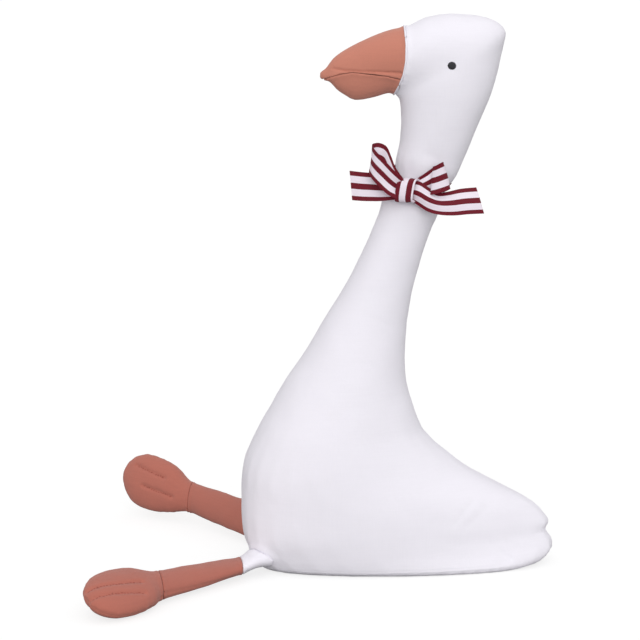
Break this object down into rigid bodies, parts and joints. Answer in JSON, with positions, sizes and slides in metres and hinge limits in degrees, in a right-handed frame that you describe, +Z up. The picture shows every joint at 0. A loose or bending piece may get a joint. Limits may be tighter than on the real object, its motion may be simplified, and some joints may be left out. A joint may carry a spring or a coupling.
{
  "type": "plush goose",
  "caption": "Stuffed cotton goose that sits upright, with a two-part terracotta beak, floppy splayed legs with flat feet and a striped ribbon tied round its neck.",
  "frame": {"origin": "middle of the flat seat that the goose rests on, in its plane of symmetry", "axes": "+Z up along the goose's height; the goose faces -X and its left side faces -Y"},
  "size_m": [0.4228, 0.4006, 0.5096],
  "materials": {
    "cover_cotton": "white plain-weave cotton, matt",
    "beak_cotton": "terracotta plain-weave cotton, matt",
    "leg_cotton": "terracotta plain-weave cotton, matt",
    "ribbon": "maroon and white striped grosgrain ribbon with a low sheen",
    "eye_thread": "charcoal satin-stitched thread"
  },
  "bodies": {
    "root": {"body": "cover_cotton", "thigh_left": "cover_cotton", "thigh_right": "cover_cotton", "beak_upper": "beak_cotton", "beak_lower": "beak_cotton", "shank_left": "leg_cotton", "shank_right": "leg_cotton", "foot_left": "leg_cotton", "foot_right": "leg_cotton", "neck_ribbon": "ribbon", "eye_left": "eye_thread", "eye_right": "eye_thread"}
  },
  "joints": []
}
